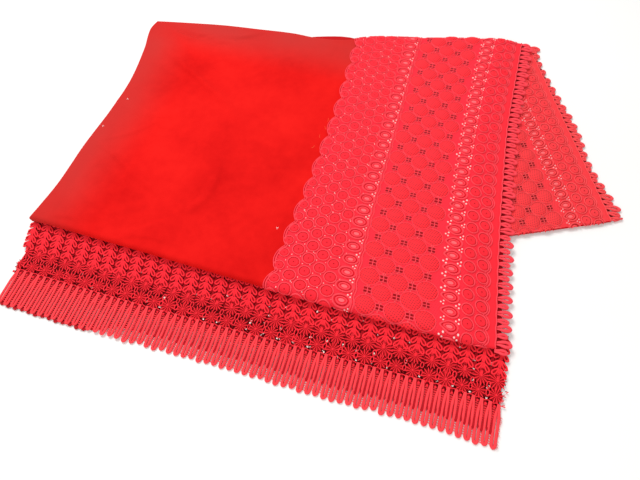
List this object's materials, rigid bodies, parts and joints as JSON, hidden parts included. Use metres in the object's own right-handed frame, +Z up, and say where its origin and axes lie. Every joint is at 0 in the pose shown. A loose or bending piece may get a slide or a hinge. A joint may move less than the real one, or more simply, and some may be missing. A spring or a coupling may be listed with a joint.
{
  "type": "velvet shawl",
  "caption": "Folded velvet shawl with a wide guipure lace band, loop-trimmed hems and a fringed leaf and flower border.",
  "frame": {"origin": "middle of the outline's bounding box, on the surface the folded shawl lies on", "axes": "+X along the front fold towards the lace end, +Y from the fringe towards the back fold, +Z up"},
  "size_m": [0.646, 0.5342, 0.0174],
  "materials": {
    "velvet": "orange-red velvet with a soft nap sheen",
    "velvet_lower": "the same velvet, darker where layers lie in shade",
    "lace": "pinkish red guipure lace of twisted rayon cord",
    "lace_lower": "the same lace on the lower layer, darker",
    "fringe": "red guipure border and looped cord fringe"
  },
  "bodies": {
    "root": {"velvet_top": "velvet", "lace_top": "lace", "trim_top": "lace", "folded_layers": "velvet_lower", "flap_layers": "velvet_lower", "flap_lace": "lace_lower", "flap_trim": "lace_lower", "border_lace": "fringe", "loop_fringe": "fringe", "under_border": "lace_lower", "under_fringe": "lace_lower"}
  },
  "joints": []
}
